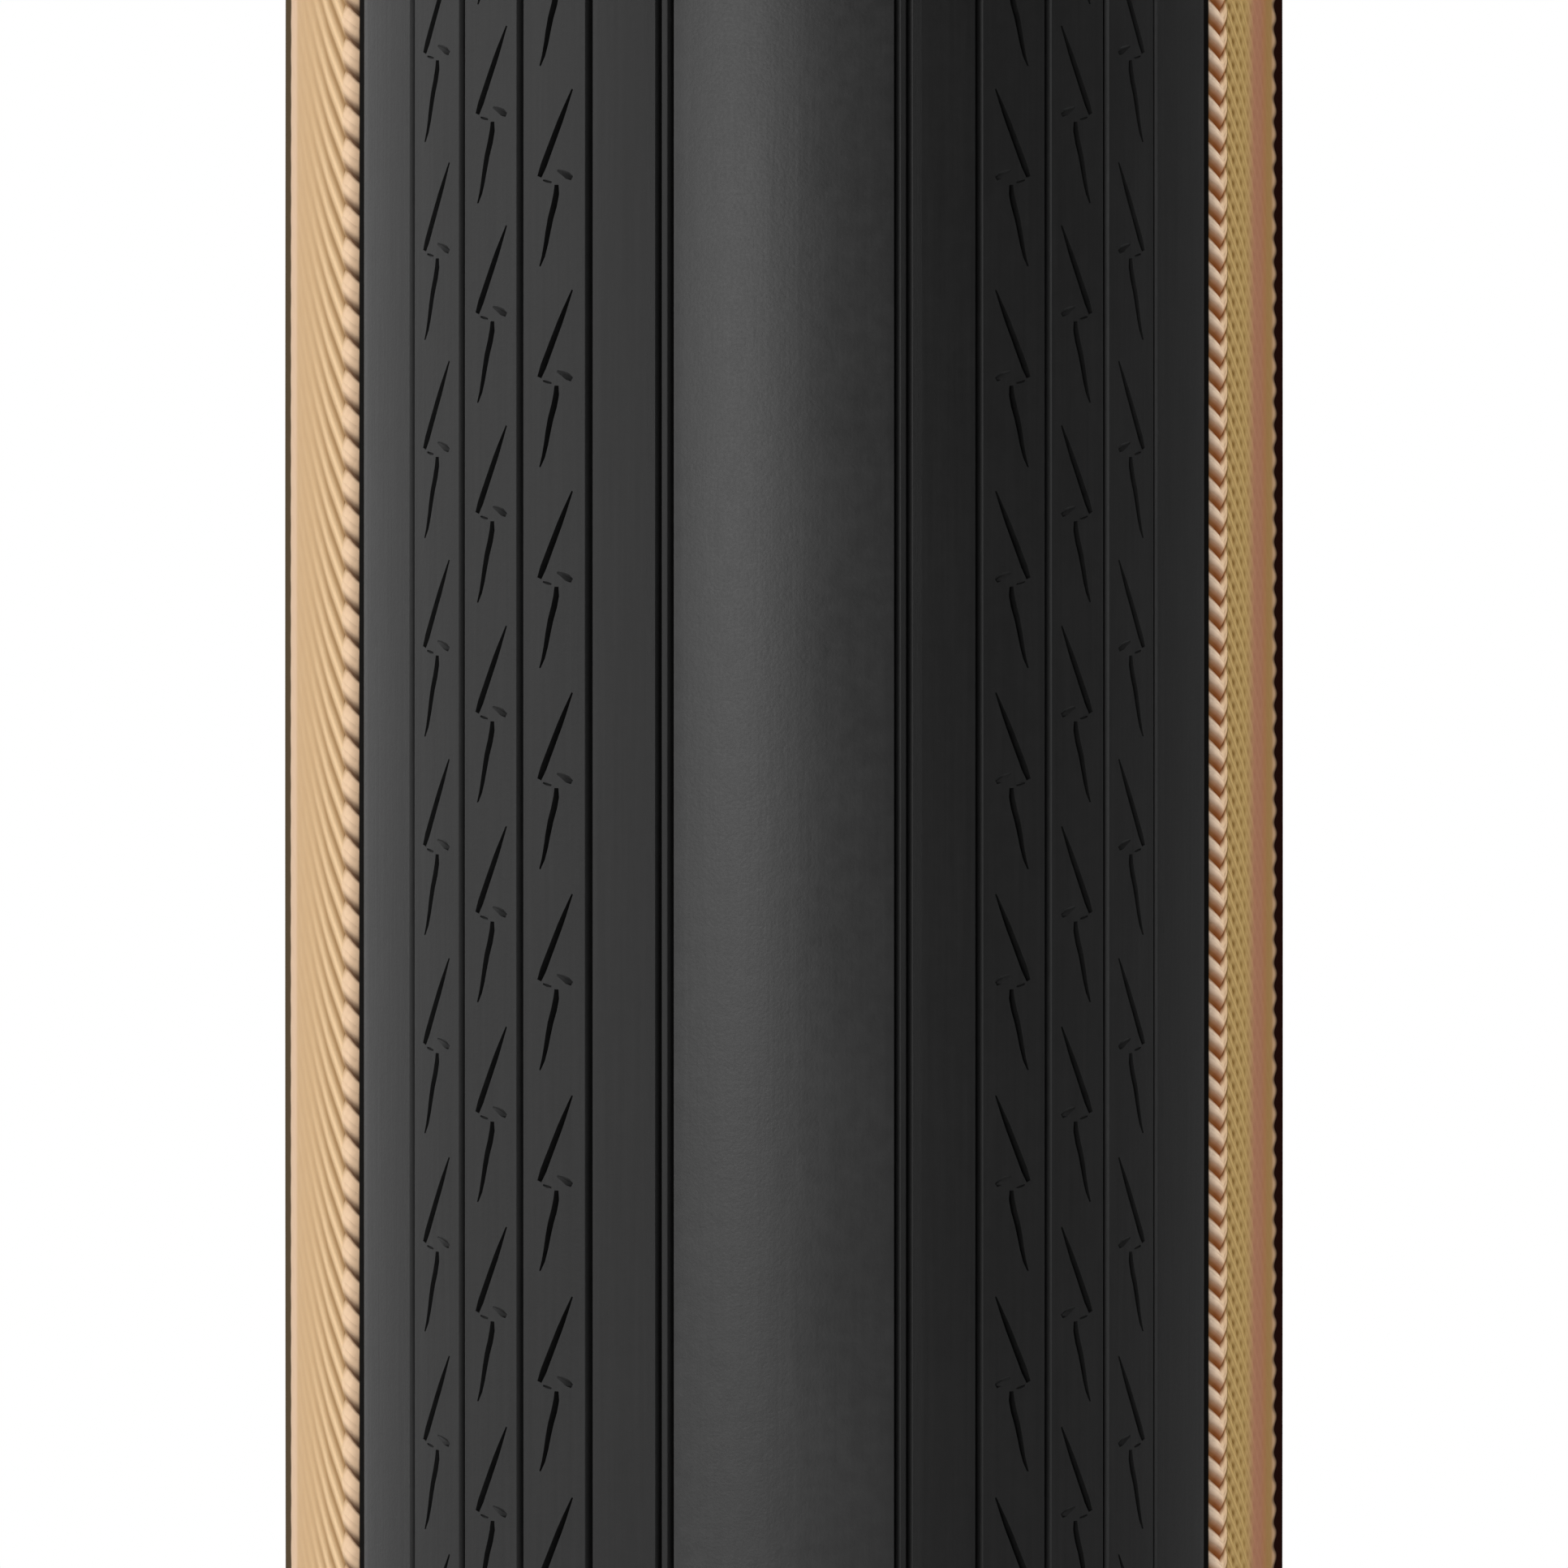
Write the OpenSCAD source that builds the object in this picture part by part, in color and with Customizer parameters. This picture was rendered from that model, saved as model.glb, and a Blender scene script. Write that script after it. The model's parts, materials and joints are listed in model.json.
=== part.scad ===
// Bicycle tire, clincher with wire beads, size 35-622 (700 x 35C).
// The wheel's axle is +Y, the origin is the tire's centre and +Z is up.
// Every piece is a ring, so each one is an outline in the section plane, turned about the axle.
// Outline points are [radius from the axle, distance along the axle], and angles start at the crown.

/* [Size] */
// Diameter of the rim's bead seat
bead_seat_d = 622; // [559:1:630]
// Overall width over the two sidewalls
section_w = 35; // [34:0.5:37]
// Height from the bead seat to the crown of the tread
section_h = 37; // [36.5:0.5:38]
// Width over the outer faces of the two beads, which is the rim's inner width
rim_w = 19; // [18:0.5:20]

/* [Casing] */
// Thickness of one rubberised fabric ply
ply_t = 0.45; // [0.35:0.05:0.5]
// Thickness of the sidewall rubber and of the chafer
skin_t = 0.5; // [0.4:0.05:0.6]
// Sideways offset of the centre that the lower sidewall curves about
lower_offset = 5; // [4.5:0.25:5.5]
// Radius of the hollow above the bead, where the rim's hook sits
neck_r = 1.6; // [1.4:0.1:1.8]

/* [Tread] */
// Thickness of the woven breaker strip under the crown
breaker_t = 0.5; // [0.4:0.1:0.6]
// Thickness of the cushion rubber between breaker and tread
cushion_t = 0.4; // [0.3:0.1:0.5]
// Thickness of the tread at its crown
tread_t = 2.1; // [1.9:0.1:2.4]
// Width of the tread, edge to edge, seen square on
tread_w = 29.7; // [29:0.1:30]
// Height of the tread's edge above the sidewall rubber
tread_edge_h = 0.45; // [0.3:0.05:0.6]
// Width of each fine groove that runs round the tread
groove_w = 0.24; // [0.16:0.02:0.3]
// Width of the finest grooves, where the centre band meets the shoulders
centre_groove_w = 0.2; // [0.12:0.02:0.24]
// Depth of all the grooves
groove_d = 0.4; // [0.2:0.05:0.5]

/* [Bead] */
// Diameter of one steel bead wire
wire_d = 0.9; // [0.8:0.05:0.92]
// Distance between neighbouring wires
wire_pitch = 0.97; // [0.95:0.01:1.0]
// Side of the wrapped square bundle of wires
core_w = 2.4; // [2.3:0.05:2.5]

/* [Hidden] */
$fn = 192;
arc_steps = 14;
seat_r = bead_seat_d / 2;
half_w = section_w / 2;
bead_y = rim_w / 2;
wall_t = 2 * ply_t + skin_t;
inner_r = half_w - wall_t;
casing_r = inner_r + 2 * ply_t;
breaker_r = casing_r + breaker_t;
cushion_r = breaker_r + cushion_t;
crown_z = cushion_r + tread_t;
centre_r = seat_r + section_h - crown_z;

// The neck turns the wall from the lower sidewall's slope to the upright face of the bead.
neck_cos = (bead_y + neck_r - lower_offset) / (half_w - lower_offset + neck_r);
neck_angle = acos(neck_cos);
neck_centre = [
    centre_r - (half_w - lower_offset + neck_r) * sin(neck_angle),
    bead_y + neck_r
];
turnup_end_angle = -60;

// The tread's outer face is one arc from edge to edge.
edge_y = tread_w / 2;
edge_r = half_w + tread_edge_h;
edge_z = sqrt(edge_r * edge_r - edge_y * edge_y);
tread_arc_r = (edge_y * edge_y + pow(crown_z - edge_z, 2)) / (2 * (crown_z - edge_z));
tread_arc_z = crown_z - tread_arc_r;

// Angles at the section's centre where the strips under the tread end.
breaker_angle = 38;
skin_top_angle = 50;
cushion_angle = 54;
tread_foot_angle = atan2(edge_y, edge_z) + 1.2;

// Grooves on each side, as distances from the tread's middle plane.
centre_groove_y = 3.88;
groove_ys = [4.3, 6.8, 9.25, 11.25, 13];
groove_taper = 0.04;

// The wire bundle sits over the bead seat, inside the turned-up ply.
foot_r = seat_r + skin_t;
core_r = foot_r + ply_t + core_w / 2;
core_y = bead_y - wall_t - core_w / 2;
core_round = 0.4;
inner_leg_y = core_y - core_w / 2;
heel_round = 0.3;
chafer_top_r = seat_r + 2.2;
rim_line_h = 0.35;
rim_line_angle = 142;

function arc(c, r, from, to, n = arc_steps) =
    [for (i = [0:n]) let (a = from + (to - from) * i / n) [c[0] + r * cos(a), c[1] + r * sin(a)]];

function reversed(points) = [for (i = [len(points) - 1:-1:0]) points[i]];

// An outline that crosses the middle plane, from its half on the +Y side.
function both_sides(half) = concat(half, [for (p = reversed(half)) [p[0], -p[1]]]);

// Lines of the wall at a depth d outside its inner face: the upper and the lower sidewall, and the neck.
function upper(d, from, to) = arc([centre_r, 0], inner_r + d, from, to);
function lower(d, from, to) = arc([centre_r, lower_offset], inner_r - lower_offset + d, from, to);
function neck(d, from, to) = arc(neck_centre, neck_r + wall_t - d, from, to);
function lower_point(r, a) = [centre_r + r * cos(a), lower_offset + r * sin(a)];
function sidewall_line(d, from) = concat(upper(d, from, 90), lower(d, 90, 90 + neck_angle));
function to_bead(d) = neck(d, neck_angle - 90, -90);
function face_y(d) = bead_y - wall_t + d;

// A point on the tread's outer face at a distance y from the middle plane, or that deep below it.
function tread_point(y, depth = 0) =
    let (a = asin(y / tread_arc_r))
    [centre_r + tread_arc_z + (tread_arc_r - depth) * cos(a), (tread_arc_r - depth) * sin(a)];
function tread_face(from, to, n = 6) =
    [for (i = [0:n]) tread_point(from + (to - from) * i / n)];
seam_angle = asin(tread_point(centre_groove_y, groove_d)[1] / cushion_r);
function groove(y, w) =
    [tread_point(y - w / 2), tread_point(y - w / 2 + groove_taper, groove_d),
     tread_point(y + w / 2 - groove_taper, groove_d), tread_point(y + w / 2)];

// The straight inner leg of the bead, which leaves the sidewall where the neck begins.
function leg_top(d, y) =
    let (foot = centre_r - (inner_r - lower_offset + d) * sin(neck_angle),
         side = lower_offset + (inner_r - lower_offset + d) * cos(neck_angle))
    [foot - (side - y) / tan(neck_angle), y];

module ring(points) {
    rotate([-90, 0, 0])
        rotate_extrude()
            polygon(points);
}

module on_side(side) {
    mirror([0, side == "left" ? 1 : 0, 0])
        children();
}

module tread_centre() {
    groove_edge = centre_groove_y - centre_groove_w / 2;
    color([0.16, 0.16, 0.16])
        ring(both_sides(concat(
            tread_face(0, groove_edge, 10),
            [tread_point(groove_edge + groove_taper, groove_d), tread_point(centre_groove_y, groove_d)],
            reversed(arc([centre_r, 0], cushion_r, 0, seam_angle))
        )));
}

module tread_shoulder(side) {
    starts = concat([centre_groove_y + centre_groove_w / 2], [for (y = groove_ys) y + groove_w / 2]);
    ends = concat([for (y = groove_ys) y - groove_w / 2], [edge_y]);
    color([0.11, 0.11, 0.11])
        on_side(side)
            ring(concat(
                [tread_point(centre_groove_y, groove_d), tread_point(starts[0] - groove_taper, groove_d)],
                [for (i = [0:len(groove_ys)]) each concat(
                    tread_face(starts[i], ends[i]),
                    i < len(groove_ys) ? groove(groove_ys[i], groove_w) : []
                )],
                reversed(upper(wall_t, cushion_angle, tread_foot_angle)),
                reversed(arc([centre_r, 0], cushion_r, seam_angle, cushion_angle))
            ));
}

module cushion_rubber() {
    color([0.2, 0.18, 0.17])
        ring(both_sides(concat(
            arc([centre_r, 0], cushion_r, 0, cushion_angle, 24),
            reversed(upper(wall_t, skin_top_angle, cushion_angle)),
            reversed(upper(2 * ply_t, breaker_angle, skin_top_angle)),
            reversed(arc([centre_r, 0], breaker_r, 0, breaker_angle))
        )));
}

module breaker_strip() {
    color([0.75, 0.68, 0.35])
        ring(both_sides(concat(
            arc([centre_r, 0], breaker_r, 0, breaker_angle),
            reversed(upper(2 * ply_t, 0, breaker_angle))
        )));
}

// The inner ply passes inside the wire bundle, turns up round it and ends in the neck.
module casing_ply_inner() {
    core_low = core_r - core_w / 2;
    core_out = core_y + core_w / 2;
    color([0.72, 0.56, 0.38])
        ring(both_sides(concat(
            sidewall_line(0, 0),
            [leg_top(0, inner_leg_y - ply_t), [foot_r, inner_leg_y - ply_t], [foot_r, face_y(ply_t)]],
            reversed(neck(ply_t, turnup_end_angle, -90)),
            neck(0, turnup_end_angle, -90),
            arc([core_low + core_round, core_out - core_round], core_round, 90, 180, 4),
            arc([core_low + core_round, inner_leg_y + core_round], core_round, 180, 270, 4),
            [leg_top(ply_t, inner_leg_y)],
            reversed(sidewall_line(ply_t, 0))
        )));
}

module casing_ply_outer() {
    color([0.72, 0.56, 0.38])
        ring(both_sides(concat(
            sidewall_line(2 * ply_t, 0), to_bead(2 * ply_t), [[foot_r, face_y(2 * ply_t)]],
            [[foot_r, face_y(ply_t)]], reversed(to_bead(ply_t)), reversed(sidewall_line(ply_t, 0))
        )));
}

// The sidewall rubber runs from under the tread's edge to the bead, with a raised line above the rim.
module sidewall(side) {
    rib_r = half_w - lower_offset + rim_line_h;
    color([0.85, 0.68, 0.48])
        on_side(side)
            ring(concat(
                upper(wall_t, skin_top_angle, 90),
                lower(wall_t, 90, rim_line_angle - 2),
                [lower_point(rib_r, rim_line_angle - 0.8), lower_point(rib_r, rim_line_angle + 0.8)],
                lower(wall_t, rim_line_angle + 2, 90 + neck_angle),
                to_bead(wall_t),
                [[chafer_top_r, bead_y], [chafer_top_r, face_y(2 * ply_t)]],
                reversed(to_bead(2 * ply_t)),
                reversed(sidewall_line(2 * ply_t, skin_top_angle))
            ));
}

// The woven strip that takes the rim's rubbing, from the heel round the base to the inner face.
module chafer(side) {
    leg_y = inner_leg_y - ply_t;
    color([0.45, 0.4, 0.34])
        on_side(side)
            ring(concat(
                [[chafer_top_r, face_y(2 * ply_t)], [chafer_top_r, bead_y]],
                arc([seat_r + heel_round, bead_y - heel_round], heel_round, 90, 180, 5),
                arc([foot_r, leg_y], skin_t, 180, 270, 6),
                [leg_top(0, leg_y) - [0.6, skin_t], leg_top(0, leg_y) - [0.1, 0]],
                [[foot_r, leg_y], [foot_r, face_y(2 * ply_t)]]
            ));
}

// Soft rubber that fills the wedge over the wires, between the ply's inner leg and its turned-up edge.
module bead_filler(side) {
    core_top = core_r + core_w / 2;
    color([0.3, 0.27, 0.24])
        on_side(side)
            ring(concat(
                [leg_top(ply_t, inner_leg_y)],
                neck(ply_t, neck_angle - 90, turnup_end_angle),
                neck(0, turnup_end_angle, -90),
                [[core_top, face_y(0)], [core_top, inner_leg_y]]
            ));
}

function wire_centre(i) =
    [core_r + (i > 1 ? 0.5 : -0.5) * wire_pitch, core_y + (i % 2 == 1 ? 0.5 : -0.5) * wire_pitch];

module wire_section(i) {
    translate(wire_centre(i))
        circle(d = wire_d, $fn = 48);
}

// Gummed tape and rubber round the four wires.
module bead_wrap(side) {
    low = core_r - core_w / 2;
    high = core_r + core_w / 2;
    color([0.22, 0.2, 0.18])
        on_side(side)
            rotate([-90, 0, 0])
                rotate_extrude()
                    difference() {
                        polygon(concat(
                            [[high, face_y(0)]],
                            arc([low + core_round, face_y(0) - core_round], core_round, 90, 180, 4),
                            arc([low + core_round, inner_leg_y + core_round], core_round, 180, 270, 4),
                            [[high, inner_leg_y]]
                        ));
                        for (i = [0:3])
                            wire_section(i);
                    }
}

module bead_wire(side, i) {
    color([0.75, 0.6, 0.38])
        on_side(side)
            rotate([-90, 0, 0])
                rotate_extrude()
                    wire_section(i);
}

tread_centre();
cushion_rubber();
breaker_strip();
casing_ply_inner();
casing_ply_outer();
for (side = ["left", "right"]) {
    tread_shoulder(side);
    sidewall(side);
    chafer(side);
    bead_filler(side);
    bead_wrap(side);
    for (i = [1:4])
        bead_wire(side, i - 1);
}
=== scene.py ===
import json
import math

import bpy
import numpy as np
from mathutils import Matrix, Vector, geometry


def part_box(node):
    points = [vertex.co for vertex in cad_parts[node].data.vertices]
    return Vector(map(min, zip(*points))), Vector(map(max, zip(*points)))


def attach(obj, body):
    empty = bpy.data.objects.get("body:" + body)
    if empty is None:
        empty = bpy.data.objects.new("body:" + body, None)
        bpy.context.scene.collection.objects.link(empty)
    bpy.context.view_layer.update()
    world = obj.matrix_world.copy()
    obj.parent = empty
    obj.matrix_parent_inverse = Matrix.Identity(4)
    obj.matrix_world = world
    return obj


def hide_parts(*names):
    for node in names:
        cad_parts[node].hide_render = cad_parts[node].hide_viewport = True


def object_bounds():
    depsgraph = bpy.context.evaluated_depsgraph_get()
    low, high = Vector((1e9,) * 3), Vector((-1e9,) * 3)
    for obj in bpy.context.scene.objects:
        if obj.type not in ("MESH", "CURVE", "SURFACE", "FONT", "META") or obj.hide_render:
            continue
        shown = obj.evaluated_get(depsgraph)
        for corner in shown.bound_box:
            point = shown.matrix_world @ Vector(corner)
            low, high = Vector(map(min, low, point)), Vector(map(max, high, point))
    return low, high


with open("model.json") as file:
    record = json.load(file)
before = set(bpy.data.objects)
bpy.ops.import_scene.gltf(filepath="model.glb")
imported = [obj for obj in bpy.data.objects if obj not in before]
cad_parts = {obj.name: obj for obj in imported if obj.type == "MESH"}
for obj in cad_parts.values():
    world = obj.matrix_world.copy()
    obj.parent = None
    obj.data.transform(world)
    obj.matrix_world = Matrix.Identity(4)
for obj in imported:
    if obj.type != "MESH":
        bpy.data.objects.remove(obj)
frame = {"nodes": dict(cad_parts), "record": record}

# Bicycle tire, 35-622. The wheel's axle is +Y, and every piece is a ring about it.
# Sections are worked out in millimetres as (radius from the axle, distance along the axle),
# with section angles from the crown, and add_piece turns them into metres.

CAD_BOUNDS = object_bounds()
MM = 0.001
RECORD = frame["record"]
SLOT_OF = {part["node"]: part["material_slot"] for part in RECORD["subparts"]}

# Sizes that the frame holds
SEAT_R = RECORD["mounts"][0]["dims"]["r_mm"]
CROWN_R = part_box("tread_centre")[1][0] / MM
HALF_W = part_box("sidewall_right")[1][1] / MM
EDGE_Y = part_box("tread_shoulder_right")[1][1] / MM
BEAD_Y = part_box("chafer_right")[1][1] / MM

# Layers of the wall. Its section is one arc down to its widest point, a second one about
# LOWER_OFFSET from there, and a hollow neck down to the bead.
PLY_T = 0.45
SKIN_T = 0.5
BREAKER_T = 0.5
CUSHION_T = 0.4
TREAD_T = 2.1
WALL_T = 2 * PLY_T + SKIN_T
INNER_R = HALF_W - WALL_T
CUSHION_R = INNER_R + 2 * PLY_T + BREAKER_T + CUSHION_T
CENTRE_R = CROWN_R - CUSHION_R - TREAD_T
LOWER_OFFSET = 5.0
NECK_R = 1.6
NECK_ANGLE = math.degrees(
    math.acos((BEAD_Y + NECK_R - LOWER_OFFSET) / (HALF_W - LOWER_OFFSET + NECK_R))
)
NECK_CENTRE = (
    CENTRE_R - (HALF_W - LOWER_OFFSET + NECK_R) * math.sin(math.radians(NECK_ANGLE)),
    BEAD_Y + NECK_R,
)

# The tread's outer face is one arc. A low step of tread rubber runs along its foot, near-black as a
# painted shadow in the gap by the sidewall.
TREAD_EDGE_H = 0.45
EDGE_LINE_H = 0.12
EDGE_LINE_INSET = 0.05
EDGE_LINE_SPAN = 3.5
EDGE_LINE_TAPER = 0.2
EDGE_Z = math.sqrt((HALF_W + TREAD_EDGE_H) ** 2 - EDGE_Y ** 2)
CROWN_Z = CROWN_R - CENTRE_R
TREAD_ARC_R = (EDGE_Y ** 2 + (CROWN_Z - EDGE_Z) ** 2) / (2 * (CROWN_Z - EDGE_Z))
TREAD_FOOT = math.degrees(math.asin((EDGE_Y - EDGE_LINE_INSET) / (HALF_W + EDGE_LINE_H)))

# Grooves round the tread, as distances from the middle plane. A pair of narrow ones bounds the
# centre band. A rib's outer lip is round. Its inner one is a bevel, with its line given as
# (share of its width, share of its depth).
CENTRE_GROOVE_Y = 3.88
CENTRE_GROOVE_W = 0.12
SECOND_GROOVE_Y = 4.3
SECOND_GROOVE_W = 0.13
GROOVE_YS = [6.72, 9.12, 11.15, 12.9]
GROOVE_W = 0.18
GROOVE_D = 0.4
GROOVE_TAPER = 0.04
OUTER_LIP = 0.05
INNER_LIP = 0.1
BEVEL_STEEP = 1.6
BEVEL = [(1, 0), (0.88, 0.06), (0.12, 0.82), (0.02, 1)]
ROUND_TO = 80
EDGE_STEP_Y = 14.66
EDGE_CORNER = 0.12
EDGE_FOOT_SPAN = 3
EDGE_BACK_FROM = 54

# Lightning-shaped cuts in three of the ribs: for the groove inside each rib, the middle of its
# cuts along the tread's face and how far round they start, as a share of their pitch. One repeat
# of the rib's top is a grid of TILE_STEPS by TILE_ROWS that stays clear of the cuts.
CUTS_ROUND = 312
CUT_COLUMNS = {6.72: (8.30, 0 / 3), 9.12: (11.0, 1 / 3), 11.15: (13.67, 2 / 3)}
CUT_DEPTH = 0.75
STEP_DEPTH = 0.05
BARB_DEPTHS = [0.02, 0.05, 0.1, 0.22]
CUT_CLEARANCE = 0.22
TILE_STEPS = 6
TILE_ROWS = 4

# Casing cords that show through the sidewall rubber, round the tire, and how far they lean. They
# end beside the tread in a bulging row like a twisted rope, between two section angles. ROPE_RUN
# is how far a cord runs round as it crosses the row, as (share of the row's width, millimetres).
# Heights are over the sidewall's face, and outside the row the cords fade over CORD_FADE degrees.
CORDS = {"left": 1824, "right": 2544}
CORD_LEAN = {"left": -1.36, "right": 1.28}
ROPE_RUN = {
    "left": [(0, 0), (0.1, 0.07), (0.2, 0.15), (0.3, 0.24), (0.5, 0.41), (0.8, 0.54), (1, 0.56)],
    "right": [(0, 0), (0.1, 0.07), (0.25, 0.21), (0.5, 0.44), (0.7, 0.2), (0.85, 0.03), (1, 0)],
}
ROPE_FROM = 57.2
ROPE_TO = {"left": 61.4, "right": 62.1}
ROPE_W = {side: math.radians(end - ROPE_FROM) * HALF_W for side, end in ROPE_TO.items()}
ROPE_BULGE = {"left": 0.24, "right": 0.18}
ROPE_SUNK = 0.04
ROPE_H = 0.12
ROPE_SAMPLES = {"left": 6, "right": 5}
WALL_H = 0.02
CORD_H = 0.07
CORD_FADE = 8.0
CORDS_GONE = 80
WALL_SAMPLES = 4
WALL_OVERLAP = 0.4
RELIEF_TO = 104.0

# The sidewall's hidden start under the tread, its raised line near the rim as (section angle,
# height), and the bead that the chafer and the inner ply go round
WALL_FROM = 50
RIM_LINE = [(141.0, 0.28), (141.5, 0.35), (142.5, 0.35), (143.0, 0.28)]
BUNDLE_W = 2.4
BUNDLE_CORNER = 0.4
TURN_UP_TO = -60
CHAFER_H = 2.2
CHAFER_HEEL = 0.3
CHAFER_SLANT = 0.6
CHAFER_GAP = 0.1
CHAFER_PROUD = 0.02

# Steps round the tire, and the angle where its meshes and their coordinates start
FINE_ROUND = 1440
BACK_ROUND = 720
TURN = 2 * math.pi
SEAM = -math.pi
SHARP_DEGREES = 38


# ---------------------------------------------------------------- section lines

def polar(centre, radius, degrees):
    """Section points at these angles on a circle."""
    a = np.radians(np.atleast_1d(degrees))
    return np.column_stack([centre[0] + radius * np.cos(a), centre[1] + radius * np.sin(a)])


def arc(centre, radius, start, end, steps):
    return polar(centre, radius, np.linspace(start, end, steps + 1))


def upper(depth, start, end, steps=24):
    """The upper sidewall's line, depth outside the casing's inner face."""
    return arc((CENTRE_R, 0), INNER_R + depth, start, end, steps)


def wall_point(degrees):
    return polar((CENTRE_R, 0), INNER_R + WALL_T, degrees)


def lower(depth, start, end, steps=24):
    return arc((CENTRE_R, LOWER_OFFSET), INNER_R - LOWER_OFFSET + depth, start, end, steps)


def neck(depth, start, end, steps=10):
    return arc(NECK_CENTRE, NECK_R + WALL_T - depth, start, end, steps)


def arc_length(y):
    """Distance along the tread's face from the middle plane to the point at y."""
    return TREAD_ARC_R * math.asin(y / TREAD_ARC_R)


def tread_at(s, depth=0.0):
    """Section points at arc length s on the tread's face, and this deep below it."""
    s, depth = np.broadcast_arrays(np.atleast_1d(np.asarray(s, float)), depth)
    a = s / TREAD_ARC_R
    r = TREAD_ARC_R - depth
    return np.column_stack([CROWN_R - TREAD_ARC_R + r * np.cos(a), r * np.sin(a)])


def tread_base(s):
    """The point of the cushion's face under arc length s of the tread."""
    r, y = tread_at(s)[0]
    return polar((CENTRE_R, 0), CUSHION_R, math.degrees(math.atan2(y, r - CENTRE_R)))


def path_length(points):
    steps = np.linalg.norm(np.diff(points, axis=0), axis=1)
    return np.concatenate([[0.0], np.cumsum(steps)])


def both_sides(half):
    """An outline that crosses the middle plane, from its half on the +Y side."""
    return np.vstack([half, half[::-1] * (1, -1)])


# ---------------------------------------------------------------- meshes

def place(section, turn):
    """Section points turned to an angle about the axle, as points in space."""
    return np.column_stack(
        [section[:, 0] * np.cos(turn), section[:, 1], section[:, 0] * np.sin(turn)]
    )


class Surface:
    """Points, faces and one (round, across) coordinate per face corner, gathered from patches."""

    def __init__(self):
        self.points, self.corners, self.sizes, self.coords = [], [], [], []
        self.count = 0

    def add(self, points, faces, coords):
        """faces is an array of corner indices, and coords has one pair per corner."""
        self.points.append(points)
        self.corners.append((faces + self.count).ravel())
        self.sizes.append(np.full(len(faces), faces.shape[1]))
        self.coords.append(coords.reshape(-1, 2))
        self.count += len(points)

    def add_grid(self, points, coords, wrap_rows):
        """points and coords are [rows, columns + 1], and the last column closes on the first."""
        rows, columns = points.shape[0], points.shape[1] - 1
        row, column = np.meshgrid(np.arange(rows - (not wrap_rows)), np.arange(columns), indexing="ij")
        below, right = (row + 1) % rows, (column + 1) % columns
        faces = np.stack(
            [row * columns + column, below * columns + column,
             below * columns + right, row * columns + right], -1
        ).reshape(-1, 4)
        across = np.stack(
            [coords[row, column], coords[below, column],
             coords[below, column + 1], coords[row, column + 1]], 2
        )
        self.add(points[:, :columns].reshape(-1, 3), faces, across)

    def add_ring(self, outline, segments, closed=True):
        """An outline turned about the axle. Its normals point away from its inside."""
        outline = np.asarray(outline, float)
        if closed and signed_area(outline) < 0:
            outline = outline[::-1]
        turn = SEAM + np.linspace(0, TURN, segments + 1)
        length = path_length(outline)
        points = np.stack([place(outline, angle) for angle in turn], 1)
        coords = np.stack(np.meshgrid(length, turn * CROWN_R, indexing="ij"), -1)[..., ::-1]
        self.add_grid(points, coords, closed)

    def mirrored(self):
        """The same surface on the other side of the middle plane."""
        other = Surface()
        other.count = self.count
        other.points = [points * (1, -1, 1) for points in self.points]
        for corners, sizes, coords in zip(self.corners, self.sizes, self.coords):
            other.corners.append(corners.reshape(len(sizes), -1)[:, ::-1].ravel())
            other.sizes.append(sizes)
            other.coords.append(coords.reshape(len(sizes), -1, 2)[:, ::-1].reshape(-1, 2))
        return other


def on_side(side, surface):
    """A surface made for the right side, or its mirror image for the left."""
    return surface.mirrored() if side == "left" else surface


def signed_area(outline):
    following = np.roll(outline, -1, 0)
    return 0.5 * np.sum(outline[:, 0] * following[:, 1] - following[:, 0] * outline[:, 1])


def add_piece(name, surface, material, node):
    """Makes a piece that stands for a CAD node."""
    points = np.concatenate(surface.points) * MM
    corners = np.concatenate(surface.corners)
    sizes = np.concatenate(surface.sizes)
    coords = np.concatenate(surface.coords)
    mesh = bpy.data.meshes.new(name)
    mesh.vertices.add(len(points))
    mesh.vertices.foreach_set("co", points.ravel())
    mesh.loops.add(len(corners))
    mesh.loops.foreach_set("vertex_index", corners)
    mesh.polygons.add(len(sizes))
    mesh.polygons.foreach_set("loop_start", np.cumsum(sizes) - sizes)
    mesh.update(calc_edges=True)
    layer = mesh.uv_layers.new(name="ring")
    layer.data.foreach_set("uv", coords.ravel())
    mesh.validate()
    mesh.shade_smooth()
    mesh.set_sharp_from_angle(angle=math.radians(SHARP_DEGREES))
    mesh.materials.append(material)
    piece = bpy.data.objects.new(name, mesh)
    bpy.context.scene.collection.objects.link(piece)
    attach(piece, "root")
    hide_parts(node)


# ---------------------------------------------------------------- tread

def groove_wall(s, outward, width):
    """The line from a rib's top over its lip and down to the middle of the groove's floor."""
    if outward:
        out, lip = 1, OUTER_LIP
        turn = np.radians(np.linspace(0, ROUND_TO, 6))
        inset, drop = 1 - np.sin(turn), 1 - np.cos(turn)
    else:
        out, lip = -1, INNER_LIP
        inset, drop = np.transpose(BEVEL) * [[1], [BEVEL_STEEP]]
    return np.vstack([
        tread_at(s - out * lip * inset, lip * drop),
        tread_at(s + out * GROOVE_TAPER, GROOVE_D),
        tread_at(s + out * width / 2, GROOVE_D),
    ])


def rib_body(start, end, start_w, end_w):
    """The outline of a rib below its top, from its outer lip round the base to its inner lip."""
    outer = groove_wall(end, True, end_w)
    inner = groove_wall(start, False, start_w)
    return np.vstack([outer, tread_base(end + end_w / 2), tread_base(start - start_w / 2), inner[::-1]])


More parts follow.
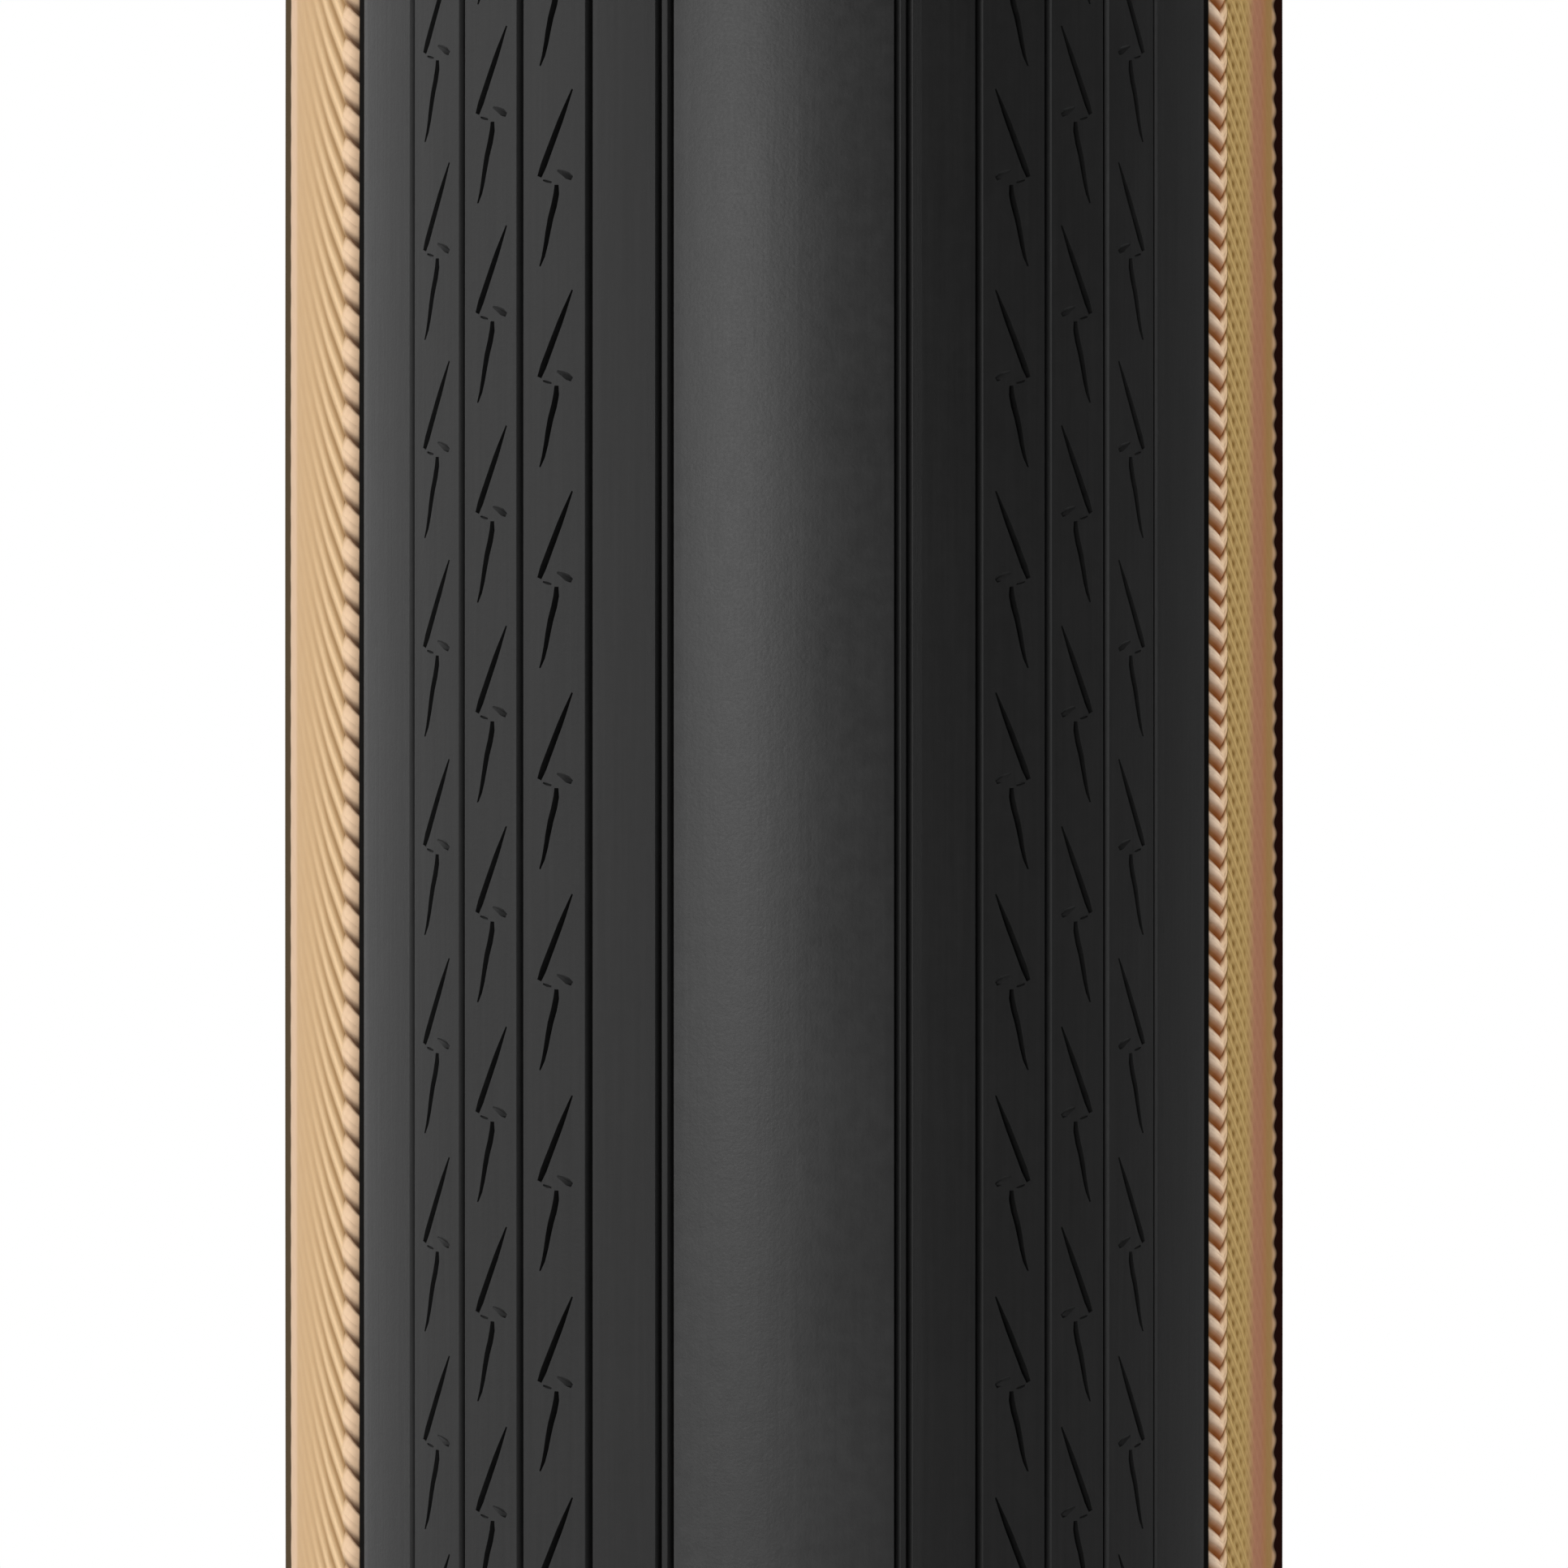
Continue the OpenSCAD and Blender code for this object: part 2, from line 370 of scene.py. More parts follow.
def centre_band():
    edge = arc_length(CENTRE_GROOVE_Y) - CENTRE_GROOVE_W / 2
    top = tread_at(np.linspace(0, edge - OUTER_LIP, 12))[1:-1]
    wall = groove_wall(edge, True, CENTRE_GROOVE_W)
    half = np.vstack([top, wall, tread_base(edge + CENTRE_GROOVE_W / 2)])
    band = Surface()
    band.add_ring(both_sides(half[::-1]), FINE_ROUND)
    return band


def plain_rib(start, end, start_w, end_w):
    top = tread_at(np.linspace(start + INNER_LIP, end - OUTER_LIP, 8))[1:-1]
    rib = Surface()
    rib.add_ring(np.vstack([top, rib_body(start, end, start_w, end_w)]), FINE_ROUND)
    return rib


def edge_rib(start):
    """The outermost rib, with the step at the tread's edge and its foot on the sidewall."""
    step = arc_length(EDGE_STEP_Y)
    rib = Surface()
    rib.add_ring(np.vstack([
        tread_at(np.linspace(start + INNER_LIP, step - EDGE_CORNER, 10))[1:],
        tread_at(step - EDGE_CORNER * 0.3, EDGE_CORNER * 0.2),
        tread_at(step, EDGE_CORNER * 0.8),
        wall_point(TREAD_FOOT - EDGE_FOOT_SPAN),
        wall_point(EDGE_BACK_FROM),
        tread_base(start - GROOVE_W / 2),
        groove_wall(start, False, GROOVE_W)[::-1],
    ]), FINE_ROUND)
    return rib


def edge_line():
    """The low step of tread rubber between the outermost rib and the sidewall, near-black as a painted
    shadow.
    """
    line = Surface()
    line.add_ring(np.vstack([
        upper(WALL_T + EDGE_LINE_H, TREAD_FOOT - EDGE_LINE_SPAN, TREAD_FOOT, 5),
        upper(WALL_T, TREAD_FOOT + EDGE_LINE_TAPER, TREAD_FOOT - EDGE_LINE_SPAN, 5),
    ]), FINE_ROUND)
    return line


def blade(path, half_widths):
    """The outline of a tapering cut along a path, and the line of its bottom edge."""
    path, half_widths = np.asarray(path, float), np.asarray(half_widths, float)[:, None]
    along = np.gradient(path, axis=0)
    across = np.column_stack([-along[:, 1], along[:, 0]]) / np.linalg.norm(along, axis=1)[:, None]
    one, other = path + across * half_widths, path - across * half_widths
    outline = np.vstack([one, other[::-1]])
    bottom = np.concatenate([np.arange(len(path)), np.arange(len(path))[::-1]])
    return outline, path, bottom


def lightning_cuts():
    """Two long cuts, the step between them and a shallow barb, as (round, across) from the middle."""
    long_path = [(3.16 - 0.375 * i, -0.69 + 0.164 * i) for i in range(9)]
    long_cut = blade(long_path, [0.03, 0.06, 0.09, 0.11, 0.115, 0.12, 0.125, 0.13, 0.09])
    tail_path = [(-0.14, -0.07), (-0.45, -0.06), (-0.85, 0.03), (-1.3, 0.17),
                 (-1.75, 0.27), (-2.2, 0.36), (-2.6, 0.46), (-2.95, 0.6)]
    tail = blade(tail_path, [0.08, 0.115, 0.12, 0.115, 0.105, 0.09, 0.07, 0.03])
    step = blade([(0.04, 0.47), (-0.01, 0.3), (-0.05, 0.13)], [0.03, 0.05, 0.03])
    barb = blade([(0.36, -0.1), (0.28, -0.3), (0.17, -0.5), (0.06, -0.68)], [0.04, 0.09, 0.13, 0.08])
    return [(long_cut, CUT_DEPTH), (tail, CUT_DEPTH), (step, STEP_DEPTH), (barb, BARB_DEPTHS)]


def inside(point, outline):
    """Whether a point is within a closed outline."""
    x, y = point
    crossings = False
    for (x0, y0), (x1, y1) in zip(outline, np.roll(outline, -1, 0)):
        if (y0 > y) != (y1 > y) and x < (x1 - x0) * (y - y0) / (y1 - y0) + x0:
            crossings = not crossings
    return crossings


def cut_tile(start, end, middle, pitch):
    """One repeat of a rib's top with its cuts: (round, across, depth) points and triangles."""
    cuts = lightning_cuts()
    rounds = np.linspace(-pitch / 2, pitch / 2, TILE_STEPS + 1)
    acrosses = np.linspace(start - middle, end - middle, TILE_ROWS + 1)
    outlines = [outline for (outline, _, _), _ in cuts]
    every = np.vstack(outlines)
    grid = [(p, q) for p in rounds for q in acrosses
            if p in rounds[[0, -1]] or q in acrosses[[0, -1]]
            or np.min(np.linalg.norm(every - (p, q), axis=1)) > CUT_CLEARANCE]
    flat, edges = [Vector(p) for p in grid], []
    for outline in outlines:
        first = len(flat)
        flat += [Vector(p) for p in outline]
        edges += [(first + i, first + (i + 1) % len(outline)) for i in range(len(outline))]
    found, _, faces, _, _, _ = geometry.delaunay_2d_cdt(flat, edges, [], 0, 1e-6)
    top = np.array([tuple(v) for v in found])
    faces = [f for f in faces if not any(inside(top[list(f)].mean(0), o) for o in outlines)]
    points, triangles = [np.column_stack([top, np.zeros(len(top))])], [np.array(faces)]
    count = len(top)
    for (outline, path, bottom), depth in cuts:
        ring = len(outline)
        points += [np.column_stack([outline, np.zeros(ring)]),
                   np.column_stack([path, np.broadcast_to(depth, len(path))])]
        low = count + ring + bottom
        high = count + np.arange(ring)
        following = np.roll(np.arange(ring), -1)
        triangles.append(np.column_stack([high, low, high[following]]))
        second = np.column_stack([high[following], low, low[following]])
        triangles.append(second[second[:, 1] != second[:, 2]])
        count += ring + len(path)
    return np.vstack(points), np.vstack(triangles)


def cut_rib(start, end, middle, phase):
    """A rib whose top repeats the lightning-shaped cuts all the way round."""
    radius = tread_at(middle)[0, 0]
    pitch = TURN * radius / CUTS_ROUND
    tile, triangles = cut_tile(start + INNER_LIP, end - OUTER_LIP, middle, pitch)
    tile_turn = (np.arange(CUTS_ROUND) + phase) * TURN / CUTS_ROUND
    turn = tile_turn[:, None] + tile[None, :, 0] / radius
    section = tread_at(tile[:, 1] + middle, tile[:, 2])
    points = place(np.tile(section, (CUTS_ROUND, 1)), turn.ravel())
    faces = (triangles[None] + np.arange(CUTS_ROUND)[:, None, None] * len(tile)).reshape(-1, 3)
    round_mm = ((turn - SEAM) % TURN + SEAM) * CROWN_R
    coords = np.column_stack([round_mm.ravel(), np.tile(tile[:, 1] + middle, CUTS_ROUND)])[faces]
    wraps = np.ptp(coords[:, :, 0], axis=1) > CROWN_R
    coords[wraps, :, 0] = np.where(coords[wraps, :, 0] < 0, coords[wraps, :, 0] + TURN * CROWN_R,
                                   coords[wraps, :, 0])
    rib = Surface()
    rib.add(points, faces[:, ::-1], coords[:, ::-1])
    rib.add_ring(rib_body(start, end, GROOVE_W, GROOVE_W), CUTS_ROUND * TILE_STEPS, closed=False)
    return rib


def build_tread(materials):
    add_piece("tread_band", centre_band(), materials["tread_centre"], "tread_centre")
    grooves = [(CENTRE_GROOVE_Y, CENTRE_GROOVE_W), (SECOND_GROOVE_Y, SECOND_GROOVE_W)]
    grooves += [(y, GROOVE_W) for y in GROOVE_YS]
    spans = [
        (y, arc_length(y) + w / 2, arc_length(y2) - w2 / 2, w, w2)
        for (y, w), (y2, w2) in zip(grooves, grooves[1:])
    ]
    for side in ("left", "right"):
        node = f"tread_shoulder_{side}"
        ribs = [
            cut_rib(start, end, *CUT_COLUMNS[y]) if y in CUT_COLUMNS else plain_rib(start, end, w, w2)
            for y, start, end, w, w2 in spans
        ]
        ribs.append(edge_rib(arc_length(GROOVE_YS[-1]) + GROOVE_W / 2))
        for number, rib in enumerate(ribs, 1):
            add_piece(f"{node}_rib_{number}", on_side(side, rib), materials["tread_rubber"], node)
        # Its near-black colour is painted shadow in the gap by the sidewall
        add_piece(f"{node}_edge_line", on_side(side, edge_line()), materials["edge_rubber"], node)


# ---------------------------------------------------------------- sidewalls and casing

def sidewall_line(depth, start):
    return np.vstack([upper(depth, start, 90), lower(depth, 90, 90 + NECK_ANGLE)[1:]])


def to_bead(depth):
    return neck(depth, NECK_ANGLE - 90, -90)[1:]


def face_y(depth):
    return BEAD_Y - WALL_T + depth


def leg_top(depth, y):
    """Where the bead's straight inner leg starts, on the tangent of the wall at the neck."""
    a = math.radians(NECK_ANGLE)
    foot = CENTRE_R - (INNER_R - LOWER_OFFSET + depth) * math.sin(a)
    side = LOWER_OFFSET + (INNER_R - LOWER_OFFSET + depth) * math.cos(a)
    return np.array([[foot - (side - y) / math.tan(a), y]])


def relief_section(degrees, height):
    """Wall points at these angles, raised above the sidewall's face."""
    on_lower = degrees > 90
    centre_y = np.where(on_lower, LOWER_OFFSET, 0.0)
    radius = HALF_W - centre_y + height
    a = np.radians(degrees)
    return np.column_stack([CENTRE_R + radius * np.cos(a), centre_y + radius * np.sin(a)])


def cord_run(side, s):
    """How far a cord has run round the tire at this distance across from the rope's inner edge."""
    shares, runs = zip(*ROPE_RUN[side])
    lean = CORD_LEAN[side]
    width = ROPE_W[side]
    return math.copysign(np.interp(s / width, shares, runs), lean) + lean * max(s - width, 0)


def relief_grid(side, degrees, samples, height_at):
    """A strip of sidewall whose columns follow the outer ply's cords.

    height_at(side, phase, degrees) gives its height over the face, with one cord to each unit of phase.
    """
    columns = CORDS[side] * samples
    phase = np.arange(columns + 1) / samples
    points, coords = [], []
    for angle in degrees:
        s = math.radians(angle - ROPE_FROM) * HALF_W
        section = relief_section(np.full(columns + 1, angle), height_at(side, phase, angle))
        turn = SEAM + phase / CORDS[side] * TURN - cord_run(side, s) / CENTRE_R
        points.append(place(section, turn))
        coords.append(np.column_stack([phase, np.full(columns + 1, s)]))
    grid = Surface()
    grid.add_grid(np.array(points), np.array(coords), False)
    return grid


def rope_height(side, phase, degrees):
    """The bulging row of cord ends beside the tread's edge."""
    t = (degrees - ROPE_FROM) / (ROPE_TO[side] - ROPE_FROM)
    crown = math.sin(math.pi * min(max(t, 0), 1)) ** 0.7
    strand = np.abs(np.sin(np.pi * phase))
    return crown * (ROPE_H + ROPE_BULGE[side] * strand) - ROPE_SUNK


def wall_height(side, phase, degrees):
    """Cords that fade out of the rubber towards the widest part of the tire."""
    fade = math.exp(-(max(degrees - ROPE_TO[side], 0) / CORD_FADE) ** 2)
    strand = np.abs(np.sin(np.pi * phase)) ** 0.8
    return WALL_H + CORD_H * fade * strand


def sidewall_body():
    """The sidewall's solid strip under the relief, down to the chafer, with its raised rim line."""
    face = np.vstack([
        upper(WALL_T, WALL_FROM, 90, 40),
        lower(WALL_T, 90, 140, 40)[1:],
        relief_section(*np.transpose(RIM_LINE)),
        lower(WALL_T, 144, 90 + NECK_ANGLE, 10),
        to_bead(WALL_T),
        [[SEAT_R + CHAFER_H, BEAD_Y], [SEAT_R + CHAFER_H, face_y(2 * PLY_T)]],
    ])
    back = np.vstack([sidewall_line(2 * PLY_T, WALL_FROM), to_bead(2 * PLY_T)])
    body = Surface()
    body.add_ring(np.vstack([face, back[::-1]]), FINE_ROUND)
    return body


def chafer_ring():
    """The strip that wraps the bead, from the sidewall's foot round to the inner leg."""
    foot_r = SEAT_R + SKIN_T
    leg_y = BEAD_Y - WALL_T - BUNDLE_W - PLY_T
    end = leg_top(0, leg_y)
    ring = Surface()
    ring.add_ring(np.vstack([
        [[SEAT_R + CHAFER_H, face_y(2 * PLY_T)], [SEAT_R + CHAFER_H, BEAD_Y + CHAFER_PROUD]],
        arc((SEAT_R + CHAFER_HEEL, BEAD_Y - CHAFER_HEEL), CHAFER_HEEL, 90, 180, 8),
        arc((foot_r, leg_y), SKIN_T, 180, 270, 8),
        end - (CHAFER_SLANT, SKIN_T),
        end - (CHAFER_GAP, 0),
        [[foot_r, leg_y], [foot_r, face_y(2 * PLY_T)]],
    ]), FINE_ROUND)
    return ring


def inner_ply_ring():
    """The inner ply, whose bare fabric is the tire's inside face."""
    foot_r = SEAT_R + SKIN_T
    corner_r = foot_r + PLY_T + BUNDLE_CORNER
    outer_y = BEAD_Y - WALL_T
    inner_y = outer_y - BUNDLE_W
    half = np.vstack([
        sidewall_line(0, 0),
        leg_top(0, inner_y - PLY_T),
        [[foot_r, inner_y - PLY_T], [foot_r, face_y(PLY_T)]],
        neck(PLY_T, TURN_UP_TO, -90)[::-1],
        neck(0, TURN_UP_TO, -90),
        arc((corner_r, outer_y - BUNDLE_CORNER), BUNDLE_CORNER, 90, 180, 4),
        arc((corner_r, inner_y + BUNDLE_CORNER), BUNDLE_CORNER, 180, 270, 4),
        leg_top(PLY_T, inner_y),
        sidewall_line(PLY_T, 0)[::-1],
    ])
    ring = Surface()
    ring.add_ring(both_sides(half[::-1]), BACK_ROUND)
    return ring


def build_casing(materials):
    add_piece("casing_inner_face", inner_ply_ring(), materials["ply_fabric"], "casing_ply_inner")
    for side in ("left", "right"):
        rope_rows = np.linspace(ROPE_FROM, ROPE_TO[side], 11)
        wall_rows = np.concatenate([
            np.linspace(ROPE_TO[side] - WALL_OVERLAP, CORDS_GONE, 6),
            np.linspace(CORDS_GONE + 3, RELIEF_TO, 4),
        ])
        pieces = {
            "rope": relief_grid(side, rope_rows, ROPE_SAMPLES[side], rope_height),
            "wall": relief_grid(side, wall_rows, WALL_SAMPLES, wall_height),
            "body": sidewall_body(),
        }
        for part, surface in pieces.items():
            material = materials[f"sidewall_{part}_{side}"]
            add_piece(f"sidewall_{side}_{part}", on_side(side, surface), material, f"sidewall_{side}")
        chafer = on_side(side, chafer_ring())
        add_piece(f"chafer_{side}_strip", chafer, materials["chafer_fabric"], f"chafer_{side}")


# ---------------------------------------------------------------- materials

class Shader:
    """A node material under construction."""

    def __init__(self, name):
        self.material = bpy.data.materials.new(name)
        self.material.use_nodes = True
        self.tree = self.material.node_tree
        self.surface = self.tree.nodes["Principled BSDF"]

    def add(self, kind, *values, **properties):
        """A node with these inputs in order (None leaves one alone), and its first output."""
        node = self.tree.nodes.new("ShaderNode" + kind)
        for key, value in properties.items():
            setattr(node, key, value)
        for index, value in enumerate(values):
            if value is not None:
                self.set(node.inputs[index], value)
        return node.outputs[0]

    def set(self, socket, value):
        if isinstance(value, bpy.types.NodeSocket):
            self.tree.links.new(value, socket)
        else:
            socket.default_value = value

    def math(self, operation, *values):
        return self.add("Math", *values, operation=operation)

    def noise(self, vector, scale, detail=3.0, roughness=0.55):
        node = self.tree.nodes.new("ShaderNodeTexNoise")
        self.set(node.inputs["Vector"], vector)
        self.set(node.inputs["Scale"], scale)
        self.set(node.inputs["Detail"], detail)
        self.set(node.inputs["Roughness"], roughness)
        return node.outputs["Fac"]

    def ring_coords(self):
        """(round, across) in millimetres, or in cords round on the sidewall's relief."""
        node = self.tree.nodes.new("ShaderNodeUVMap")
        node.uv_map = "ring"
        return node.outputs["UV"]

    def object_coords(self):
        return self.tree.nodes.new("ShaderNodeTexCoord").outputs["Object"]

    def stretched(self, vector, factors):
        return self.add("VectorMath", vector, factors, operation="MULTIPLY")

    def ramp(self, value, stops):
        """Colours between (position, colour) stops."""
        node = self.tree.nodes.new("ShaderNodeValToRGB")
        self.set(node.inputs[0], value)
        elements = node.color_ramp.elements
        elements[0].position, elements[1].position = stops[0][0], stops[-1][0]
        for position, _ in stops[1:-1]:
            elements.new(position)
        for element, (_, colour) in zip(elements, stops):
            element.color = (*colour, 1.0)
        return node.outputs["Color"]

    def mix(self, factor, one, other, blend="MIX"):
        node = self.tree.nodes.new("ShaderNodeMix")
        node.data_type = "RGBA"
        node.blend_type = blend
        self.set(node.inputs[0], factor)
        for socket, value in zip((node.inputs[6], node.inputs[7]), (one, other)):
            self.set(socket, (*value, 1.0) if isinstance(value, tuple) else value)
        return node.outputs[2]

    def rescale(self, value, low, high):
        return self.add("MapRange", value, 0.0, 1.0, low, high)

    def blend(self, one, other, share):
        """A share of one value and the rest of the other."""
        return self.math("MULTIPLY_ADD", one, share, self.math("MULTIPLY", other, 1 - share))

    def bump(self, height, depth_mm):
        node = self.tree.nodes.new("ShaderNodeBump")
        self.set(node.inputs["Strength"], 1.0)
        self.set(node.inputs["Distance"], depth_mm * MM)
        self.set(node.inputs["Height"], height)
        return node.outputs["Normal"]

    def finish(self, colour, roughness, normal, specular, metallic=0.0):
        self.set(self.surface.inputs["Base Color"], colour)
        self.set(self.surface.inputs["Roughness"], roughness)
        self.set(self.surface.inputs["Normal"], normal)
        self.set(self.surface.inputs["Specular IOR Level"], specular)
        self.surface.inputs["Metallic"].default_value = metallic
        return self.material


def shade(colour, factor):
    return tuple(c * factor for c in colour)


def tread_material(name, colour, rough, mottle_mm, streak_share, specular):
    """Moulded rubber: fine streaks round the tire, a soft cloudy mottle and a dusty grain."""
    shader = Shader(name)
    coords = shader.ring_coords()
    streaks = shader.noise(shader.stretched(coords, (0.12, 5.0, 1.0)), 1.0, 4.0)
    clouds = shader.noise(coords, 0.22, 2.0)
    mottle = shader.blend(shader.noise(coords, 1.6, 4.0, 0.6), clouds, 0.6)
    grain = shader.noise(coords, 9.0, 2.0)
    tone = shader.blend(streaks, mottle, streak_share)
    base = shader.ramp(tone, [(0.3, shade(colour, 0.72)), (0.5, colour), (0.72, shade(colour, 1.35))])
    roughness = shader.rescale(shader.blend(mottle, grain, 0.6), rough - 0.1, rough + 0.12)
    height = shader.math("MULTIPLY_ADD", grain, 0.3, mottle)
    height = shader.math("MULTIPLY_ADD", streaks, streak_share, height)
    return shader.finish(base, roughness, shader.bump(height, mottle_mm), specular)


def cord_phases(shader, side, part):
    """Phases in cords of the outer ply, the inner ply and the way round, and the distance across."""
    split = shader.tree.nodes.new("ShaderNodeSeparateXYZ")
    shader.set(split.inputs[0], shader.ring_coords())
    shear = CORD_LEAN[side] * CORDS[side] / (TURN * CENTRE_R)
    outer, across = split.outputs[0], split.outputs[1]
    if part == "body":
        across = shader.math("SUBTRACT", across, math.radians(ROPE_FROM - WALL_FROM) * HALF_W)
        around = shader.math("MULTIPLY", outer, CORDS[side] / (TURN * CROWN_R))
        outer = shader.math("MULTIPLY_ADD", across, shear, around)
    else:
        around = shader.math("MULTIPLY_ADD", across, -shear, outer)
    inner = shader.math("MULTIPLY_ADD", across, -2 * shear, outer)
    return outer, inner, around, across


def waves(shader, phase, per_unit):
    """A wave from 0 in the valleys to 1 on the ridges, this many to a unit of phase."""
    turn = shader.math("MULTIPLY", phase, math.pi * per_unit)
    return shader.math("ABSOLUTE", shader.math("SINE", turn))


def smooth_waves(shader, phase):
    wave = waves(shader, phase, 1)
    return shader.math("MULTIPLY", wave, wave)


# Gum colours of each side. The wall's colours and how much of the cords shows in them run outwards
# by section angle. The rope's rise in lightness from one cord end up to the next is painted shade and
# light: it runs from its notch colours, painted shade, to its peak colours, gum lit with a painted
# highlight, by share of its width, and over the shares in join it runs into the cords. The painted
# shade at the widest part of the wall starts at an angle, with a soft edge and a scallop at each cord,
# in shares of the relief.
GUM = {
    "left": {
        "wall": [(ROPE_FROM, (0.56, 0.375, 0.195)), (70, (0.555, 0.37, 0.195)),
                 (76, (0.56, 0.375, 0.205)), (77.6, (0.66, 0.47, 0.32)),
                 (80.6, (0.64, 0.46, 0.32)), (104, (0.58, 0.4, 0.22))],
        "fade": [(61, 1.0), (65, 0.8), (67.5, 0.43), (70.5, 0.12), (76, 0.02)],
        "valley": (0.34, 0.2, 0.085),
        "crest": (0.79, 0.57, 0.34),
        "crossing": 0.0,
        "shade_to_light": [(0.0, 0.0), (0.15, 0.03), (0.26, 0.25), (0.4, 0.8), (0.52, 1.0), (0.93, 1.0),
                 (1.0, 0.1)],
        # Notch colours are painted shade, darkest by the tread
        "notch_shade": [(0.1, (0.03, 0.012, 0.004)), (0.35, (0.12, 0.06, 0.028)),
                  (0.6, (0.26, 0.15, 0.075)), (0.9, (0.4, 0.25, 0.12))],
        "lit_peak": [(0.1, (0.58, 0.41, 0.27)), (0.35, (0.8, 0.58, 0.39)), (0.7, (0.76, 0.55, 0.36))],
        "join": (0.6, 0.95),
        # Painted shade at the widest part of the wall, and the section angle where it starts
        "silhouette_shade": (0.08, 0.057, 0.033),
        "silhouette_shade_from": 80.4,
        "scallop": 0.006,
        "soft": 0.006,
    },
    # The same gum as the left; the right's wall colours are darker and warmer as painted shade
    "right": {
        "wall": [(ROPE_FROM, (0.46, 0.313, 0.106)), (66.5, (0.46, 0.313, 0.106)),
                 (68.3, (0.423, 0.248, 0.12)), (69.3, (0.386, 0.17, 0.106)),
                 (72, (0.368, 0.166, 0.101)), (73.4, (0.368, 0.166, 0.074)),
                 (75, (0.322, 0.184, 0.064)), (77, (0.331, 0.193, 0.069)),
                 (78.2, (0.46, 0.294, 0.175)), (104, (0.534, 0.368, 0.202))],
        "fade": [(61, 1.0), (65, 0.8), (67.5, 0.4), (70, 0.1), (75, 0.02)],
        "valley": (0.276, 0.147, 0.032),
        "crest": (0.57, 0.39, 0.156),
        "crossing": 1.0,
        "shade_to_light": [(0.0, 0.0), (0.12, 0.03), (0.28, 0.25), (0.45, 0.75), (0.6, 1.0), (0.82, 1.0),
                 (0.93, 0.4), (1.0, 0.0)],
        # Notch colours are painted shade
        "notch_shade": [(0.1, (0.36, 0.15, 0.045)), (0.3, (0.29, 0.082, 0.012)),
                  (0.6, (0.3, 0.09, 0.014)), (0.9, (0.34, 0.14, 0.035))],
        # Peaks this bright are a painted highlight on the rope's lit side
        "lit_peak": [(0.1, (1.0, 0.79, 0.6)), (0.4, (1.0, 0.76, 0.55)), (0.6, (0.92, 0.66, 0.42)),
                 (0.9, (0.72, 0.5, 0.26))],
        "join": (0.8, 1.0),
        # Painted shade at the widest part of the wall, and the section angle where it starts
        "silhouette_shade": (0.012, 0.004, 0.003),
        "silhouette_shade_from": 77.8,
        "scallop": 0.035,
        "soft": 0.02,
    },
}
# Section angles where the painted shade at the widest part fades out
SILHOUETTE_SHADE_FADE = (89, 94)


def share_across(degrees):
    """A section angle as a share of the relief's width."""
    return (degrees - ROPE_FROM) / (RELIEF_TO - ROPE_FROM)


def greys(stops):
    return [(position, (value, value, value)) for position, value in stops]


def rope_colour(shader, side, outer, across, cords):
    """Cord ends that bulge between notches of painted shade, with a painted highlight on each,
    and run into the cords outside them. A painted shadow lines the rope's edge by the tread.
    """
    gum = GUM[side]
    t = shader.math("DIVIDE", across, ROPE_W[side])
    # Painted shade at the notch end of each cord end, rising to painted light at its peak
    shade_to_light = shader.ramp(shader.math("FRACT", outer), greys(gum["shade_to_light"]))
    ends = shader.mix(shade_to_light, shader.ramp(t, gum["notch_shade"]), shader.ramp(t, gum["lit_peak"]))
    ends = shader.mix(shader.ramp(t, greys(zip(gum["join"], (0.0, 1.0)))), ends, cords)
    # Painted shadow along the rope's inner edge, in the gap by the tread
    edge = shader.ramp(t, greys([(0.0, 1.0), (0.04, 0.9), (0.09, 0.0), (1.0, 0.0)]))
    return shader.mix(edge, ends, (0.03, 0.014, 0.006))


def wall_colour(shader, gum, outer, inner, share):
    """Cords that fade into plain gum rubber, and whether the two plies show crossing."""
    base = shader.ramp(share, [(share_across(a), c) for a, c in gum["wall"]])
    fade = shader.ramp(share, greys([(share_across(a), v) for a, v in gum["fade"]]))
    valleys = shader.math("SUBTRACT", 1.0, smooth_waves(shader, outer))
    crossing = shader.math("SUBTRACT", 1.0, smooth_waves(shader, inner))
    crossing = shader.math("MULTIPLY_ADD", crossing, gum["crossing"], 1 - gum["crossing"])
    cords = shader.mix(shader.math("MULTIPLY", valleys, crossing), gum["crest"], gum["valley"])
    return shader.mix(fade, base, cords), fade


